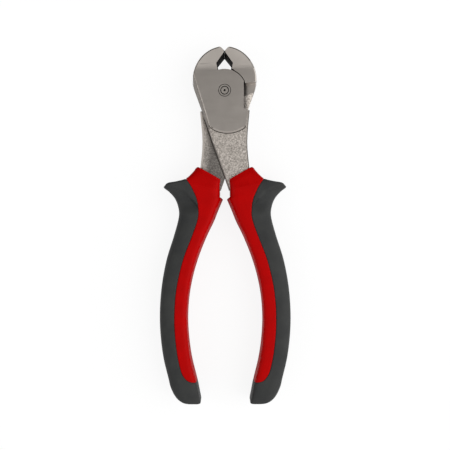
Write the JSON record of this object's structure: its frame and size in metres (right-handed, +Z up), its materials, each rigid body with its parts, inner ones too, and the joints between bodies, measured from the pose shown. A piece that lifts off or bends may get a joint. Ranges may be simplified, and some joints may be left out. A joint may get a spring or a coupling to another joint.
{
  "type": "end cutting nippers",
  "caption": "End cutting nippers: lapped forged steel levers with flared cutting jaws on a flush rivet, and bowed red and grey moulded grips with finger guards.",
  "frame": {"origin": "centre of the tool's footprint, on the surface it lies on, with the jaws closed", "axes": "+Z up through the flat of the tool along the pivot, +Y from the grip ends towards the jaws, +X to the right seen from above"},
  "size_m": [0.0596, 0.16, 0.016],
  "materials": {
    "forged_steel": "ground and polished head, shot-blasted shanks",
    "rivet_steel": "turned and ground flush",
    "red_plastic": "smooth moulded, half gloss",
    "grey_rubber": "matt soft moulding with a fine grain"
  },
  "bodies": {
    "rear_half": {"rear_lever": "forged_steel", "pivot_rivet": "rivet_steel", "left_grip_core": "red_plastic", "left_grip_cover": "grey_rubber"},
    "front_half": {"front_lever": "forged_steel", "right_grip_core": "red_plastic", "right_grip_cover": "grey_rubber"}
  },
  "joints": [
    {"name": "lever_pivot", "type": "hinge", "parent": "rear_half", "child": "front_half", "pos_m": [0, 0.06084, 0.008], "axis": [0, 0, 1], "range_deg": [0, 42]}
  ]
}
